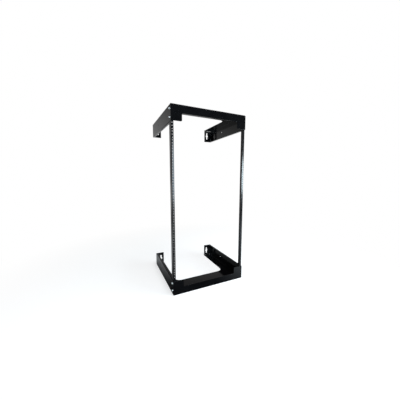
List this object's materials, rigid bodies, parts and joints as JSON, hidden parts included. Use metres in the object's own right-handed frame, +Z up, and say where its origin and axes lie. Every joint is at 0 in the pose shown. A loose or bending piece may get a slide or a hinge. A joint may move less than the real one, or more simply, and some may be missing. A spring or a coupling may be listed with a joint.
{
  "type": "wall mount open frame rack",
  "caption": "Open frame rack for a wall: folded steel brackets at top and bottom, joined by upright rails with tapped holes for rack equipment.",
  "frame": {"origin": "middle of the bottom bracket's underside, half way between the front and the wall", "axes": "+X to the right seen from the front, -Y to the front, +Y to the wall, +Z up"},
  "size_m": [0.4908, 0.4572, 1.0668],
  "materials": {
    "bracket_paint": "semi-gloss black powder coat",
    "rail_paint": "semi-gloss black powder coat",
    "zinc": "bright zinc plate"
  },
  "bodies": {
    "root": {"bottom_bracket": "bracket_paint", "top_bracket": "bracket_paint", "left_rail": "rail_paint", "right_rail": "rail_paint", "bolt_bottom_left_1": "zinc", "bolt_bottom_left_2": "zinc", "bolt_bottom_right_1": "zinc", "bolt_bottom_right_2": "zinc", "bolt_top_left_1": "zinc", "bolt_top_left_2": "zinc", "bolt_top_right_1": "zinc", "bolt_top_right_2": "zinc", "lock_washer_bottom_left_1": "zinc", "lock_washer_bottom_left_2": "zinc", "lock_washer_bottom_right_1": "zinc", "lock_washer_bottom_right_2": "zinc", "lock_washer_top_left_1": "zinc", "lock_washer_top_left_2": "zinc", "lock_washer_top_right_1": "zinc", "lock_washer_top_right_2": "zinc", "nut_bottom_left_1": "zinc", "nut_bottom_left_2": "zinc", "nut_bottom_right_1": "zinc", "nut_bottom_right_2": "zinc", "nut_top_left_1": "zinc", "nut_top_left_2": "zinc", "nut_top_right_1": "zinc", "nut_top_right_2": "zinc"}
  },
  "joints": []
}
